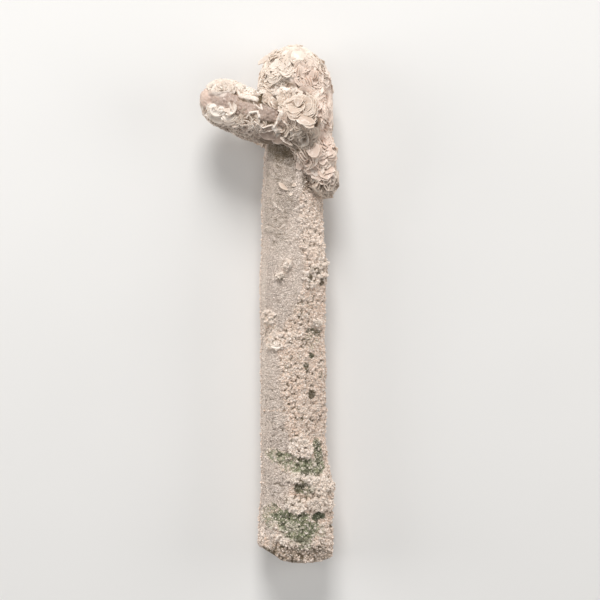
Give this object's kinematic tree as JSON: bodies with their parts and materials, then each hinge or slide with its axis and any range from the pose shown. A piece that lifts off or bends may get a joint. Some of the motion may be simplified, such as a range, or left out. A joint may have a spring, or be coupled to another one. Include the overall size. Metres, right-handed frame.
{
  "type": "quartz floater",
  "caption": "Long six-sided quartz crystal coated in fine quartz, with green hollows near its broken foot and a crown of overlapping platy calcite round its head.",
  "frame": {"origin": "centre of the footprint, on the plane the specimen's back lies on", "axes": "+Y along the quartz column towards the crown, +Z out of the front that is shown, +X to the right seen from the front"},
  "size_m": [0.038, 0.1396, 0.0243],
  "materials": {
    "quartz_coat": "granular, sparkling druse",
    "calcite": "satin cleavage plates"
  },
  "bodies": {
    "root": {"quartz_column": "quartz_coat", "blade_crown": "calcite"}
  },
  "joints": []
}
